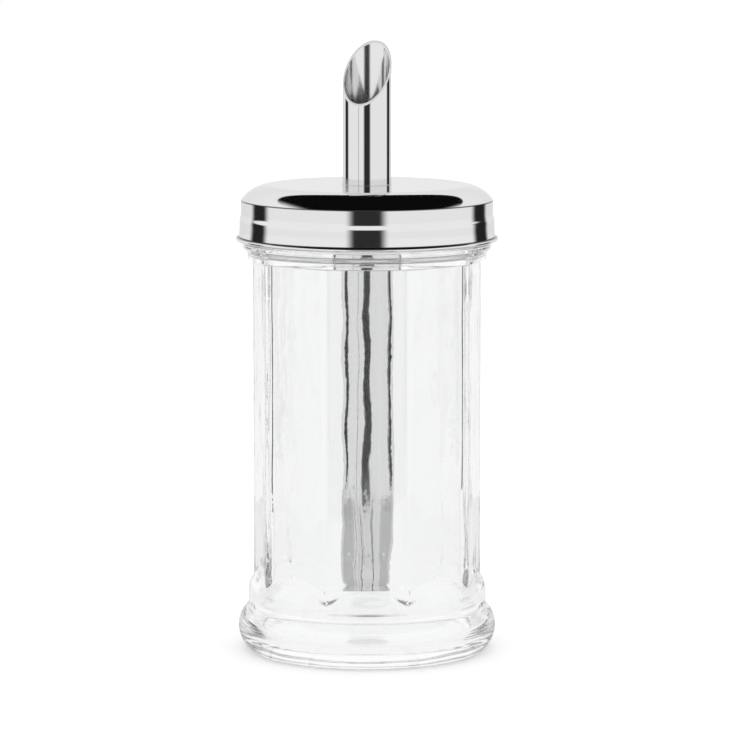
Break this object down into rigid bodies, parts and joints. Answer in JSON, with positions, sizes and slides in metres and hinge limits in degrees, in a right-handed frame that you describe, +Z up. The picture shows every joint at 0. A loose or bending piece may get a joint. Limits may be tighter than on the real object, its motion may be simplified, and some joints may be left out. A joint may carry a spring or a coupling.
{
  "type": "sugar dispenser",
  "caption": "Countertop sugar pourer: clear panelled glass jar on a heavy round foot, screw-on steel lid and a straight steel pour tube with a slanted spout.",
  "frame": {"origin": "centre of the foot, on the surface it stands on", "axes": "+Z up along the axis of jar, lid and tube; the spout's low side faces -Y, so it pours towards -Y"},
  "size_m": [0.077, 0.077, 0.1795],
  "materials": {
    "jar_glass": "clear, smooth pressed glass",
    "lid_steel": "polished stainless steel",
    "tube_steel": "polished stainless steel"
  },
  "bodies": {
    "root": {"jar": "jar_glass", "lid": "lid_steel", "pour_tube": "tube_steel"}
  },
  "joints": []
}
